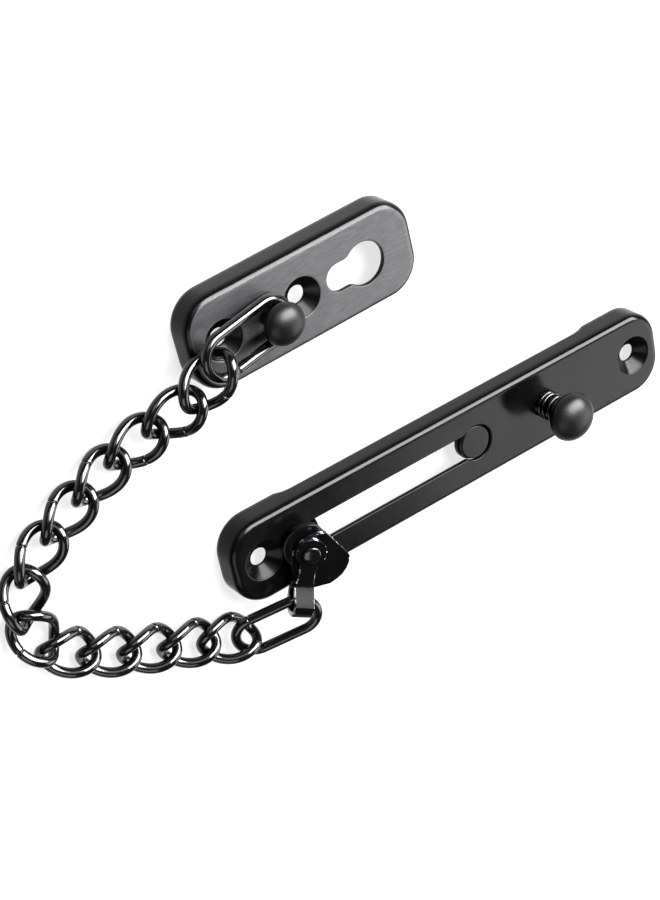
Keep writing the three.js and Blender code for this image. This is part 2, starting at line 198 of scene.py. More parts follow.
def add_camera():
    """A long lens above the guard's far side, rolled so that the track runs up to the right."""
    data = bpy.data.cameras.new("camera")
    data.lens = CAMERA_LENS
    data.sensor_width = 36
    data.clip_start = 0.01
    data.clip_end = 20
    camera = bpy.data.objects.new("camera", data)
    bpy.context.scene.collection.objects.link(camera)
    back = CAMERA_BACK.normalized()
    up = back.cross(CAMERA_RIGHT).normalized()
    right = up.cross(back)
    camera.matrix_world = Matrix.Translation(TRACK_AT + CAMERA_OFFSET) @ Matrix(
        (right, up, back)
    ).transposed().to_4x4()
    bpy.context.scene.camera = camera


add_camera()

# ------------------------------------------------------------------ mesh building


class Shell:
    """The points and faces of one mesh, in millimetres."""

    def __init__(self):
        self.points = []
        self.faces = []

    def loop(self, points):
        """Adds a row of points and returns their indices."""
        start = len(self.points)
        self.points.extend(tuple(point) for point in points)
        return list(range(start, len(self.points)))

    def band(self, low, high, closed=True):
        """Quads between two rows of points of the same count."""
        count = len(low)
        for i in range(count if closed else count - 1):
            after = (i + 1) % count
            self.faces.append((low[i], low[after], high[after], high[i]))

    def bands(self, rows, closed=True):
        """Quads between each row and the next."""
        for low, high in zip(rows, rows[1:]):
            self.band(low, high, closed)

    def fan(self, loop, apex):
        """Triangles from a loop to one point."""
        (tip,) = self.loop([apex])
        for i, start in enumerate(loop):
            self.faces.append((start, loop[(i + 1) % len(loop)], tip))

    def fill(self, outer, holes=()):
        """Triangles over a flat area between an outer loop and the loops of its holes."""
        loops = [outer, *holes]
        order = [index for loop in loops for index in loop]
        outlines = [[Vector(self.points[index]) for index in loop] for loop in loops]
        for triangle in tessellate_polygon(outlines):
            self.faces.append(tuple(order[i] for i in triangle))

    def build(self, name, place=Matrix.Identity(4)):
        """The finished object, placed in the row frame."""
        mesh = bpy.data.meshes.new(name)
        mesh.from_pydata([Vector(point) * MM for point in self.points], [], self.faces)
        work = bmesh.new()
        work.from_mesh(mesh)
        bmesh.ops.remove_doubles(work, verts=work.verts, dist=1e-7)
        bmesh.ops.recalc_face_normals(work, faces=work.faces)
        work.to_mesh(mesh)
        work.free()
        mesh.shade_smooth()
        piece = bpy.data.objects.new(name, mesh)
        bpy.context.scene.collection.objects.link(piece)
        piece.matrix_world = place
        return piece


def settle(piece):
    """Moves a tilted piece's place into its mesh, so that its box is square to the row frame."""
    piece.data.transform(piece.matrix_world)
    piece.matrix_world = Matrix.Identity(4)
    return piece


def arc(x, y, radius, start_deg, end_deg, steps):
    """Points along an arc, both ends included."""
    angles = np.radians(np.linspace(start_deg, end_deg, steps + 1))
    return [(x + radius * math.cos(a), y + radius * math.sin(a)) for a in angles]


def circle(x, radius, steps=64):
    """A closed circle about a point on the X axis."""
    return arc(x, 0, radius, 0, 360, steps)[:-1]


def quarter(radius, steps=5):
    """Offsets (across, down) over a rounded edge, from the face to the wall."""
    angles = [math.pi / 2 * i / steps for i in range(steps + 1)]
    return [(radius * (1 - math.sin(a)), radius * (1 - math.cos(a))) for a in angles]


def rounded_rectangle(length, width, radius, steps=14):
    """A rectangle with round corners, with points along its sides as well."""
    half_x = length / 2 - radius
    half_y = width / 2 - radius
    signs = [(1, 1), (-1, 1), (-1, -1), (1, -1)]
    corners = [
        arc(sx * half_x, sy * half_y, radius, 90 * i, 90 * (i + 1), steps)
        for i, (sx, sy) in enumerate(signs)
    ]
    points = []
    for i, corner in enumerate(corners):
        begin = np.array(corner[-1])
        end = np.array(corners[(i + 1) % 4][0])
        count = SIDE_POINTS[i % 2]
        side = [tuple(begin + (end - begin) * j / count) for j in range(1, count)]
        points += corner + side
    return points


def offset_outline(points, distance):
    """A closed outline moved outwards by a distance. It runs anticlockwise."""
    shape = np.array(points)
    along = np.roll(shape, -1, 0) - np.roll(shape, 1, 0)
    along /= np.linalg.norm(along, axis=1)[:, None]
    outward = np.c_[along[:, 1], -along[:, 0]]
    return shape + outward * distance


def keyhole(small_x, small_radius, big_x, big_radius, flare):
    """A slot with a round end that flares into a larger circle at its other end."""
    rise = small_radius + flare
    reach = math.sqrt((big_radius + flare) ** 2 - rise ** 2)
    turn = math.degrees(math.atan2(rise, reach))
    line_end = big_x - reach
    points = arc(small_x, 0, small_radius, 90, 270, 28)
    side = np.linspace(small_x, line_end, max(3, round(line_end - small_x) // 2))[1:-1]
    lower_flare = arc(line_end, -rise, flare, 90, turn, 8)
    big_end = arc(big_x, 0, big_radius, turn - 180, 180 - turn, 44)
    upper_flare = arc(line_end, rise, flare, -turn, -90, 8)
    points += [(x, -small_radius) for x in side]
    points += lower_flare + big_end[1:-1] + upper_flare
    points += [(x, small_radius) for x in reversed(side)]
    return points


def hole_rows(shell, outline, top, bottom, edge=EDGE):
    """The wall of a hole through the sheet, with eased edges. Returns its face and back loops."""
    section = [(edge + FLAT_MARGIN, top)]
    section += [(across, top - down) for across, down in quarter(edge)]
    section += [(across, bottom + down) for across, down in reversed(quarter(edge))]
    section += [(edge + FLAT_MARGIN, bottom)]
    rows = [
        shell.loop([(x, y, z) for x, y in offset_outline(outline, out)]) for out, z in section
    ]
    shell.bands(rows)
    return rows[0], rows[-1]


def countersink_rows(shell, x, top, bottom):
    """A dished screw hole, with the fine rings that the tool left. Returns its outer loops."""
    seat = top - (SCREW_HEAD_RADIUS - SCREW_RADIUS)
    section = [(SCREW_HEAD_RADIUS + DISH_SHOULDER + FLAT_MARGIN, top)]
    for i in range(6):
        angle = math.radians(45 * i / 5)
        section.append((
            SCREW_HEAD_RADIUS + DISH_SHOULDER - DISH_SHOULDER * math.sin(angle),
            top - DISH_SHOULDER * (1 - math.cos(angle)),
        ))
    start_radius, start_z = section[-1]
    steps = TOOL_RINGS * TOOL_RING_STEPS
    for i in range(1, steps):
        share = i / steps
        ripple = TOOL_RING_DEPTH * math.sin(2 * math.pi * TOOL_RINGS * share) ** 2
        section.append((
            start_radius + (SCREW_RADIUS - start_radius) * share + ripple,
            start_z + (seat - start_z) * share - ripple,
        ))
    lip = seat - DISH_LIP
    section += [
        (SCREW_RADIUS, seat),
        (SCREW_RADIUS, lip + EDGE),
        (SCREW_RADIUS + EDGE, lip),
        (SCREW_RADIUS + DISH_WALL - EDGE, lip),
        (SCREW_RADIUS + DISH_WALL, lip + EDGE),
        (SCREW_RADIUS + DISH_WALL, seat - DISH_LIP / 3),
        (SCREW_HEAD_RADIUS + DISH_WALL, bottom - EDGE),
        (SCREW_HEAD_RADIUS + DISH_WALL + EDGE, bottom),
        (SCREW_HEAD_RADIUS + DISH_WALL + EDGE + FLAT_MARGIN, bottom),
    ]
    rows = [shell.loop([(px, py, z) for px, py in circle(x, radius)]) for radius, z in section]
    shell.bands(rows)
    return rows[0], rows[-1]


def flat_rim(x):
    """The plate's walls reach the door all the way round."""
    return 0.0


def relieved_rim(x):
    """The long walls stop short of the door between the ends, with a soft step."""
    share = min(max((RELIEF_END - abs(x)) / RELIEF_BLEND, 0), 1)
    return RELIEF_HEIGHT * share * share * (3 - 2 * share)


def pressed_plate(name, length, width, screws, holes, rim, place):
    """A tray pressed from sheet: rolled edges, walls folded back, dished screw holes."""
    shell = Shell()
    top = HEIGHT
    bottom = HEIGHT - SHEET
    inner_roll = ROLL - SHEET / 2
    blend = (WALL_BLEND_HEIGHT, WALL_BLEND_SHARE)
    section = [(SHEET / 2, 0, 1), (EDGE, 0, 1), (0, EDGE, 1), (0, *blend)]
    section += [(across, top - down, 0) for across, down in reversed(quarter(ROLL, 10))]
    section += [(ROLL + FLAT_MARGIN, top, 0)]
    outer = stack(shell, length, width, section, rim)
    section = [(SHEET / 2, 0, 1), (SHEET - EDGE, 0, 1), (SHEET, EDGE, 1), (SHEET, *blend)]
    section += [
        (SHEET + across, bottom - down, 0) for across, down in reversed(quarter(inner_roll, 6))
    ]
    section += [(SHEET + inner_roll + FLAT_MARGIN, bottom, 0)]
    inner = stack(shell, length, width, section, rim)
    faces = [hole_rows(shell, outline, top, bottom) for outline in holes]
    faces += [countersink_rows(shell, x, top, bottom) for x in screws]
    shell.fill(outer, [face for face, back in faces])
    shell.fill(inner, [back for face, back in faces])
    return shell.build(name, place)


def stack(shell, length, width, section, rim):
    """Rows of a tray's wall from (inset, height, share of the rim's rise). Returns the last."""
    rows = []
    for inset, z, share in section:
        outline = rounded_rectangle(length - 2 * inset, width - 2 * inset, CORNER - inset)
        rows.append(shell.loop([(x, y, z + share * rim(x)) for x, y in outline]))
    shell.bands(rows)
    return rows[-1]


def turned(name, profile, place, steps=72):
    """A turned piece about its Z axis, from (radius, height) pairs, lowest first."""
    shell = Shell()
    rows = []
    for radius, z in profile[1:-1]:
        rows.append(shell.loop([(px, py, z) for px, py in circle(0, radius, steps)]))
    shell.bands(rows)
    shell.fan(rows[0], (0, 0, profile[0][1]))
    shell.fan(rows[-1], (0, 0, profile[-1][1]))
    return shell.build(name, place)


def eased(profile, ease=0.15, steps=3):
    """A profile with each inside corner replaced by a small curve."""
    points = [np.array(point, float) for point in profile]
    result = [tuple(points[0])]
    for before, here, after in zip(points, points[1:], points[2:]):
        back = before - here
        ahead = after - here
        cut = min(ease, 0.45 * np.linalg.norm(back), 0.45 * np.linalg.norm(ahead))
        start = here + back / np.linalg.norm(back) * cut
        end = here + ahead / np.linalg.norm(ahead) * cut
        for i in range(steps + 1):
            t = i / steps
            result.append(tuple((1 - t) ** 2 * start + 2 * t * (1 - t) * here + t * t * end))
    result.append(tuple(points[-1]))
    return result


def dome(radius, rim_z, crown_z, steps=14):
    """Points of a dome from its rim to its crown."""
    angles = [math.pi / 2 * i / steps for i in range(steps + 1)]
    return [(radius * math.cos(a), rim_z + (crown_z - rim_z) * math.sin(a)) for a in angles]


def wire_ring(name, centreline, seam, place, sides=20):
    """A closed ring of round wire with a butt seam at the given share of its length."""
    length = ring_length(centreline)
    near_seam = [seam + SEAM_WIDTH * step / length for step in (-2, -1, -0.5, 0, 0.5, 1, 2)]
    even = [i / RING_STEPS for i in range(RING_STEPS)]
    plain = [share for share in even if abs(share - seam) * length > 2.5 * SEAM_WIDTH]
    shares = sorted(plain + near_seam)
    shell = Shell()
    rows = []
    for share in shares:
        away = (share - seam) * length / SEAM_WIDTH
        radius = WIRE_RADIUS - SEAM_DEPTH * math.exp(-away * away * 2)
        rows.append(shell.loop(section_at(centreline, share, radius, sides)))
    shell.bands(rows)
    shell.band(rows[-1], rows[0])
    return settle(shell.build(name, place))


def section_at(centreline, share, radius, sides):
    """A round section across a centreline at a share of its length."""
    step = 1e-4
    here = Vector(centreline(share))
    along = (Vector(centreline(share + step)) - Vector(centreline(share - step))).normalized()
    side = along.cross(Vector((0, 0, 1))).normalized()
    up = side.cross(along)
    angles = [2 * math.pi * i / sides for i in range(sides)]
    return [here + side * radius * math.cos(a) + up * radius * math.sin(a) for a in angles]


def ring_length(centreline, steps=200):
    """The length of a closed centreline."""
    points = [Vector(centreline(i / steps)) for i in range(steps + 1)]
    return sum((b - a).length for a, b in zip(points, points[1:]))


def curb(share):
    """The centreline of a twisted link."""
    angle = 2 * math.pi * share
    across = CURB_HALF_WIDTH * math.sin(angle)
    twist = CURB_TWIST * math.cos(angle)
    return CURB_HALF_LENGTH * math.cos(angle), across * math.cos(twist), across * math.sin(twist)


def oval(straight, radius):
    """The centreline of a flat oval link."""
    half_way = straight + math.pi * radius

    def centreline(share):
        distance = (share % 1) * 2 * half_way
        flip = -1 if distance >= half_way else 1
        distance -= half_way if flip < 0 else 0
        if distance < straight:
            return flip * (distance - straight / 2), -flip * radius, 0
        angle = (distance - straight) / radius
        x = straight / 2 + radius * math.sin(angle)
        return flip * x, -flip * radius * math.cos(angle), 0

    return centreline


def node_axes(node):
    """The frame of a symmetric CAD node: its middle, and its longest to shortest axes."""
    points = np.array([v.co for v in frame["nodes"][node].data.vertices])
    points = np.unique(points.round(7), axis=0)
    middle = points.mean(0)
    axes = np.linalg.eigh(np.cov((points - middle).T))[1]
    x_axis = axes[:, 2]
    y_axis = axes[:, 1]
    z_axis = np.cross(x_axis, y_axis)
    place = Matrix(np.array([x_axis, y_axis, z_axis]).T.tolist()).to_4x4()
    place.translation = Vector(middle)
    return place


def joint(name):
    """The CAD joint of that name."""
    return next(item for item in frame["joints"] if item["name"] == name)


# ------------------------------------------------------------------ materials

# Noise scales, per metre.
PATCH_SCALE = 90
TONE_SCALE = 260
BRUSH_SCALE = 420
CLOUD_SCALE = 70
RIDGE_SCALE = 900
PAPER_SCALE = 40

BRUSH_STRETCH = (1, 16, 16)
BRUSH_DEPTH = 0.00002
RIDGE_DEPTH = 0.00025
EDGE_GLOSS = 0.2

COAT = (0.0004, 0.0004, 0.00042)
COAT_LIGHT = (0.0007, 0.0007, 0.00074)
WIRE_LIGHT = (0.0008, 0.0008, 0.00085)
KNOB = (0.0006, 0.0006, 0.00063)
KNOB_LIGHT = (0.0012, 0.0012, 0.00127)
BRUSHED_EDGE = (0.0005, 0.0005, 0.0005)
BRUSHED_DARK = (0.032, 0.032, 0.033)
BRUSHED_LIGHT = (0.056, 0.056, 0.0575)
# The sheared edge's light colour is partly bare steel and partly painted glint: its spots are far
# lighter than the metal.
TORN_DARK = (0.01, 0.01, 0.011)
TORN_BARE_AND_GLINT = (0.85, 0.85, 0.88)
PAPER_DARK = (0.05, 0.05, 0.05)
PAPER_LIGHT = (0.06, 0.06, 0.06)


def new_material(name, colour, roughness, metallic):
    """A Principled material, with its node tree, its shader and its coordinates node."""
    material = bpy.data.materials.new(name)
    material.use_nodes = True
    tree = material.node_tree
    shader = tree.nodes["Principled BSDF"]
    shader.inputs["Base Color"].default_value = (*colour, 1)
    shader.inputs["Roughness"].default_value = roughness
    shader.inputs["Metallic"].default_value = metallic
    coordinates = tree.nodes.new("ShaderNodeTexCoord")
    return material, tree, shader, coordinates


def noise(tree, coordinates, scale, detail=3, stretch=(1, 1, 1)):
    """A noise texture fixed to the piece."""
    mapping = tree.nodes.new("ShaderNodeMapping")
    mapping.inputs["Scale"].default_value = stretch
    tree.links.new(coordinates.outputs["Object"], mapping.inputs["Vector"])
    texture = tree.nodes.new("ShaderNodeTexNoise")
    texture.inputs["Scale"].default_value = scale
    texture.inputs["Detail"].default_value = detail
    tree.links.new(mapping.outputs["Vector"], texture.inputs["Vector"])
    return texture.outputs["Fac"]


def spread(tree, value, low, high, source_low=0.3, source_high=0.7):
    """A texture's value spread between two limits."""
    node = tree.nodes.new("ShaderNodeMapRange")
    node.inputs["From Min"].default_value = source_low
    node.inputs["From Max"].default_value = source_high
    node.inputs["To Min"].default_value = low
    node.inputs["To Max"].default_value = high
    tree.links.new(value, node.inputs["Value"])
    return node.outputs["Result"]


def colour_between(tree, value, first, second):
    """A colour that a value from 0 to 1 takes from the first to the second."""
    ramp = tree.nodes.new("ShaderNodeMix")
    ramp.data_type = "RGBA"
    ramp.inputs["A"].default_value = (*first, 1)
    ramp.inputs["B"].default_value = (*second, 1)
    tree.links.new(value, ramp.inputs["Factor"])
    return ramp.outputs["Result"]


def bump(tree, shader, height, depth, strength=1.0):
    """Lets a texture stand up from the surface by a depth in metres."""
    node = tree.nodes.new("ShaderNodeBump")
    node.inputs["Strength"].default_value = strength
    node.inputs["Distance"].default_value = depth
    tree.links.new(height, node.inputs["Height"])
    tree.links.new(node.outputs["Normal"], shader.inputs["Normal"])


def coated_steel(name, colour, light_colour, roughness, ior, peel_scale, peel_depth):
    """Glossy black coating: faint orange peel, uneven gloss and a slightly uneven colour."""
    material, tree, shader, coordinates = new_material(name, colour, roughness, 0.0)
    shader.inputs["IOR"].default_value = ior
    patches = noise(tree, coordinates, PATCH_SCALE, 4)
    gloss = spread(tree, patches, roughness * 0.8, roughness * 1.3)
    tree.links.new(gloss, shader.inputs["Roughness"])
    tone = spread(tree, noise(tree, coordinates, TONE_SCALE, 5), 0, 1)
    tree.links.new(colour_between(tree, tone, colour, light_colour), shader.inputs["Base Color"])
    bump(tree, shader, noise(tree, coordinates, peel_scale, 2), peel_depth)
    return material


def brushed_steel(name, black, colour, light_colour, roughness, ior):
    """Black coated steel whose flat face is brushed, fading into gloss over its rolled edges."""
    material, tree, shader, coordinates = new_material(name, black, roughness, 0.9)
    shader.inputs["IOR"].default_value = ior
    lines = noise(tree, coordinates, BRUSH_SCALE, 5, BRUSH_STRETCH)
    cloud = noise(tree, coordinates, CLOUD_SCALE, 4, (1, 2, 1))
    split = tree.nodes.new("ShaderNodeSeparateXYZ")
    tree.links.new(coordinates.outputs["Normal"], split.inputs["Vector"])
    flat = spread(tree, split.outputs["Z"], 0, 1, 0.9, 0.995)
    worn = spread(tree, cloud, roughness * 0.85, roughness * 1.2)
    gloss = tree.nodes.new("ShaderNodeMapRange")
    gloss.inputs["To Min"].default_value = EDGE_GLOSS
    tree.links.new(flat, gloss.inputs["Value"])
    tree.links.new(worn, gloss.inputs["To Max"])
    tree.links.new(gloss.outputs["Result"], shader.inputs["Roughness"])
    brushed = colour_between(tree, spread(tree, lines, 0, 1), colour, light_colour)
    mix = tree.nodes.new("ShaderNodeMix")
    mix.data_type = "RGBA"
    mix.inputs["A"].default_value = (*black, 1)
    tree.links.new(brushed, mix.inputs["B"])
    tree.links.new(flat, mix.inputs["Factor"])
    tree.links.new(mix.outputs["Result"], shader.inputs["Base Color"])
    tree.links.new(spread(tree, flat, 0, 0.9, 0, 1), shader.inputs["Metallic"])
    bump(tree, shader, lines, BRUSH_DEPTH, 0.5)
    return material


def sheared_steel(name, colour, light_colour):
    """The torn edge that a press leaves: bumped ridges across the sheet, and bare steel spots
    painted much lighter as glints.
    """
    material, tree, shader, coordinates = new_material(name, colour, 0.22, 0.7)
    ridges = noise(tree, coordinates, RIDGE_SCALE, 6, (1, 1, 0.25))
    tone = spread(tree, ridges, 0, 1, 0.52, 0.68)
    # Spots of the light colour are painted glints on the bare steel.
    tree.links.new(colour_between(tree, tone, colour, light_colour), shader.inputs["Base Color"])
    bump(tree, shader, ridges, RIDGE_DEPTH)
    return material


PLATE_BLACK = coated_steel(
    "black_coat", COAT, COAT_LIGHT,
    roughness=0.17, ior=1.18, peel_scale=700, peel_depth=0.000008,
)
STRAP_BLACK = coated_steel(
    "black_strap", COAT, COAT_LIGHT,
    roughness=0.3, ior=1.1, peel_scale=900, peel_depth=0.00002,
)
WIRE_BLACK = coated_steel(
    "black_wire", COAT, WIRE_LIGHT,
    roughness=0.13, ior=1.38, peel_scale=900, peel_depth=0.000015,
)
KNOB_BLACK = coated_steel(
    "black_knob", KNOB, KNOB_LIGHT,
    roughness=0.4, ior=1.22, peel_scale=1500, peel_depth=0.000012,
)
BRUSHED = brushed_steel(
    "black_brushed", BRUSHED_EDGE, BRUSHED_DARK, BRUSHED_LIGHT, roughness=0.34, ior=1.2
)
# The strap's cut edges, with painted glints.
SHEARED_PAINTED_GLINT = sheared_steel("sheared_edge_painted_glint", TORN_DARK, TORN_BARE_AND_GLINT)


def finish(piece, node, body, slot, *materials):
    """A piece takes a CAD node's place, its body and its finish."""
    for material in materials:
        piece.data.materials.append(material)
    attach(piece, body)
    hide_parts(node)
    return piece


# ------------------------------------------------------------------ plates

track_place = Matrix.Translation(TRACK_AT)
keeper_place = Matrix.Translation(KEEPER_AT) @ Matrix.Rotation(math.radians(KEEPER_TURN), 4, "Z")

track_holes = [
    keyhole(SLOT_START, SLOT_RADIUS, ENTRY_X, ENTRY_RADIUS, ENTRY_FLARE),
    circle(LATCH_X, LATCH_HOLE_RADIUS, 40),
]
track_plate = pressed_plate(
    "track_plate_look", TRACK_LENGTH, TRACK_WIDTH, (-TRACK_SCREW_X, TRACK_SCREW_X),
    track_holes, relieved_rim, track_place,
)
finish(track_plate, "track_plate", "track", "black_coat", PLATE_BLACK)

keeper_holes = [
    keyhole(KEYHOLE_NECK_X, KEYHOLE_NECK_RADIUS, KEYHOLE_X, KEYHOLE_RADIUS, KEYHOLE_FLARE),
    circle(POST_X, POST_HOLE_RADIUS, 40),
]
keeper_plate = pressed_plate(
    "keeper_plate_look", KEEPER_LENGTH, KEEPER_WIDTH, KEEPER_SCREWS, keeper_holes, flat_rim,
    keeper_place,
)
finish(keeper_plate, "keeper_plate", "keeper", "black_brushed", BRUSHED)

# ------------------------------------------------------------------ keeper's post


def keeper_post():
    """The post, from its riveted foot up to its domed head."""
    back = HEIGHT - SHEET - GAP
    face = HEIGHT + GAP
    neck = POST_HOLE_RADIUS - GAP
    underside = HEIGHT + POST_RISE
    rim = underside + 0.25 * POST_HEAD_RADIUS
    profile = [
        (0, back - POST_FOOT_HEIGHT),
        (0.8 * POST_FOOT_RADIUS, back - POST_FOOT_HEIGHT),
        (POST_FOOT_RADIUS, back - POST_FOOT_HEIGHT / 2),
        (POST_FOOT_RADIUS, back),
        (neck, back),
        (neck, face),
        (POST_RADIUS, face),
        (POST_RADIUS, underside),
        (0.8 * POST_HEAD_RADIUS, underside),
        (0.95 * POST_HEAD_RADIUS, underside + 0.1 * POST_HEAD_RADIUS),
    ]
    profile = eased(profile) + dome(POST_HEAD_RADIUS, rim, underside + POST_HEAD_HEIGHT)
    place = keeper_place @ Matrix.Translation((POST_X * MM, 0, 0))
    return turned("keeper_post_look", profile, place)


finish(keeper_post(), "keeper_post", "keeper", "black_polish", KNOB_BLACK)

# ------------------------------------------------------------------ latch

latch_place = track_place @ Matrix.Translation((LATCH_X * MM, 0, 0))
LEAF_TOP = HEIGHT - SHEET - GAP
LEAF_BOTTOM = LEAF_TOP - LEAF_THICKNESS


def latch_knob():
    """The knob and its stem, riveted over below the leaf."""
    foot_top = LEAF_BOTTOM - GAP
    neck = LEAF_HOLE_RADIUS - GAP
    shoulder = LEAF_TOP + GAP
    rim = KNOB_UNDERSIDE + 0.37 * KNOB_RADIUS
    profile = [
        (0, LEAF_BOTTOM - LEAF_FOOT_HEIGHT),
        (0.8 * LEAF_FOOT_RADIUS, LEAF_BOTTOM - LEAF_FOOT_HEIGHT),
        (LEAF_FOOT_RADIUS, foot_top),
        (neck, foot_top),
        (neck, shoulder),
        (STEM_RADIUS, shoulder),
        (STEM_RADIUS, KNOB_UNDERSIDE),
        (0.55 * KNOB_RADIUS, KNOB_UNDERSIDE),
        (0.9 * KNOB_RADIUS, KNOB_UNDERSIDE + 0.15 * KNOB_RADIUS),
    ]
    profile = eased(profile) + dome(KNOB_RADIUS, rim, KNOB_UNDERSIDE + KNOB_HEIGHT)
    return turned("latch_knob_look", profile, latch_place)


def latch_leaf():
    """A strip under the face with a raised disc at its round end, and a hole for the stem."""
    shell = Shell()
    half = LEAF_WIDTH / 2
    tail = LATCH_X + LEAF_TAIL
    round_end = arc(ENTRY_X, 0, half, 90, 270, 30)
    outline = round_end + [(tail, -half), (tail, half)]
    stem_hole = circle(LATCH_X, LEAF_HOLE_RADIUS, 40)
    disc_top = HEIGHT - GAP
    low = shell.loop([(x, y, LEAF_BOTTOM) for x, y in outline])
    high = shell.loop([(x, y, LEAF_TOP) for x, y in outline])
    hole_low = shell.loop([(x, y, LEAF_BOTTOM) for x, y in stem_hole])
    hole_high = shell.loop([(x, y, LEAF_TOP) for x, y in stem_hole])
    disc = [shell.loop([(x, y, LEAF_TOP) for x, y in circle(ENTRY_X, DISC_RADIUS)])]
    for across, down in reversed(quarter(EDGE)):
        ring = circle(ENTRY_X, DISC_RADIUS - across)
        disc.append(shell.loop([(x, y, disc_top - down) for x, y in ring]))
    inner = circle(ENTRY_X, DISC_RADIUS - EDGE - FLAT_MARGIN)
    disc.append(shell.loop([(x, y, disc_top) for x, y in inner]))
    shell.band(low, high)
    shell.band(hole_low, hole_high)
    shell.bands(disc)
    shell.fill(disc[-1])
    shell.fill(low, [hole_low])
    shell.fill(high, [hole_high, disc[0]])
    return shell.build("latch_leaf_look", track_place)


def latch_spring():
    """A coil of round wire with closed ends, between the face and the knob."""
    low = HEIGHT + GAP + SPRING_WIRE / 2
    high = KNOB_UNDERSIDE - GAP - SPRING_WIRE / 2

    def centreline(share):
        angle = 2 * math.pi * SPRING_TURNS * share
        rise = share - SPRING_CLOSING * math.sin(2 * math.pi * share)
        height = low + (high - low) * min(max(rise, 0), 1)
        return SPRING_RADIUS * math.cos(angle), SPRING_RADIUS * math.sin(angle), height

    count = SPRING_TURNS * 40
    shell = Shell()
    rows = [
        shell.loop(section_at(centreline, i / count, SPRING_WIRE / 2, 12)) for i in range(count + 1)
    ]
    shell.bands(rows)
    shell.fan(rows[0], centreline(0))
    shell.fan(rows[-1], centreline(1))
    return shell.build("latch_spring_look", latch_place)


finish(latch_knob(), "latch_knob", "latch", "black_polish", KNOB_BLACK)
leaf = finish(latch_leaf(), "latch_leaf", "latch", "black_coat", PLATE_BLACK)
leaf.data.set_sharp_from_angle(angle=math.radians(50))
spring = finish(latch_spring(), "latch_spring", "track", "black_polish", WIRE_BLACK)

# ------------------------------------------------------------------ slider

turn_joint = joint("clevis_turn")
slider_up = Vector(turn_joint["axis"])
slider_side = Vector((0, 1, 0))
slider_along = slider_side.cross(slider_up).normalized()
slider_place = Matrix((slider_along, slider_side, slider_up)).transposed().to_4x4()
slider_place.translation = Vector(turn_joint["pos_m"]) - slider_up * STUD_TURN_POINT * MM


def slider_stud():
    """The rivet: head under the face, neck in the slot, thin shank and riveted end."""
    bottom = STUD_NECK_LOW - STUD_HEAD_DEPTH
    seat = UPPER_Z + STRAP_THICKNESS / 2 + GAP
    profile = [
        (0, bottom),
        (0.65 * STUD_HEAD_RADIUS, bottom),
        (STUD_HEAD_RADIUS, bottom + 0.4 * STUD_HEAD_DEPTH),
        (STUD_HEAD_RADIUS, STUD_NECK_LOW),
        (STUD_NECK_RADIUS, STUD_NECK_LOW),
        (STUD_NECK_RADIUS, STUD_SHOULDER),
        (RIVET_RADIUS, STUD_SHOULDER),
        (RIVET_RADIUS, seat),
        (RIVET_HEAD_RADIUS, seat),
    ]
    rim = seat + 0.4 * RIVET_HEAD_HEIGHT
    profile = eased(profile) + dome(RIVET_HEAD_RADIUS, rim, seat + RIVET_HEAD_HEIGHT, 8)
    return settle(turned("slider_stud_look", profile, slider_place, 48))


def turn_about_stud(degrees):
    """A turn about the stud's own axis."""
    return Matrix.Rotation(math.radians(degrees), 4, "Z")


def flatted_outline(radius, flat_x, steps=56):
    """A circle with one straight side, square to +X."""
    cut = math.degrees(math.acos(flat_x / radius))
    return arc(0, 0, radius, cut, 360 - cut, steps)


def plate_solid(outline, low, high, edge):
    """A thick flat piece with eased edges, from an outline."""
    shell = Shell()
    section = [(-edge - FLAT_MARGIN, low)]
    section += [(-across, low + down) for across, down in quarter(edge, 3)]
    section += [(-across, high - down) for across, down in reversed(quarter(edge, 3))]
    section += [(-edge - FLAT_MARGIN, high)]
    rows = [shell.loop([(x, y, z) for x, y in offset_outline(outline, out)]) for out, z in section]
    shell.bands(rows)
    shell.fill(rows[0])
    shell.fill(rows[-1])
    return shell


def slider_collar():
    """The disc with one straight side, between the neck and the clevis."""
    low = STUD_SHOULDER + GAP
    outline = flatted_outline(COLLAR_RADIUS, COLLAR_FLAT)
    shell = plate_solid(outline, low, low + COLLAR_THICKNESS, COLLAR_EASE)
    return settle(shell.build("slider_collar_look", slider_place @ turn_about_stud(FLAT_TURN)))


def strap_path():
    """The strap's side view, out along the lower leg, round the fold and back on the upper leg."""
    middle = FOLD_RADIUS + STRAP_THICKNESS / 2
    lobe_end = min(x for x, across in LOWER_LEG)
    # A hair inside the lobe's end, where it still has some width.
    path = round_leg(lobe_end + 0.001, LOWER_Z)
    path += arc(FOLD_REACH, FOLD_Z, middle, *FOLD_ANGLES, 26)
    path.append((STRAP_BEND + STRAP_THICKNESS, UPPER_Z + STRAP_THICKNESS / 4))
    path += reversed(round_leg(-TOP_LOBE_RADIUS, UPPER_Z))
    return [np.array(point) for point in path]


def round_leg(end_x, z, steps=36):
    """Points along a flat leg, close together near its round end."""
    shares = [1 - math.cos(math.pi / 2 * i / steps) for i in range(steps + 1)]
    return [(end_x + (STRAP_BEND - end_x) * share, z) for share in shares]


def torn(distance):
    """How far the sheared edge wanders at a distance along the strap."""
    return sum(depth * math.sin(pace * distance + shift) for depth, pace, shift in TORN_WAVES)


def lower_leg():
    """The lower leg's outline: an offset lobe with a flat, drawn in to the strap's own width."""
    heading = math.radians(LOBE_HEADING - STRAP_TURN)
    flat = math.radians(FLAT_TURN - STRAP_TURN)
    lobe = [
        Vector((
            LOBE_OFFSET * math.cos(heading) + x * math.cos(flat) - y * math.sin(flat),
            LOBE_OFFSET * math.sin(heading) + x * math.sin(flat) + y * math.cos(flat),
        ))
        for x, y in flatted_outline(LOBE_RADIUS, LOBE_FLAT, 90)
    ]
    corners = [Vector((STRAP_BEND, side * STRAP_HALF_WIDTH)) for side in (-1, 1)]
    points = lobe + corners
    return [points[i] for i in convex_hull_2d(points)]


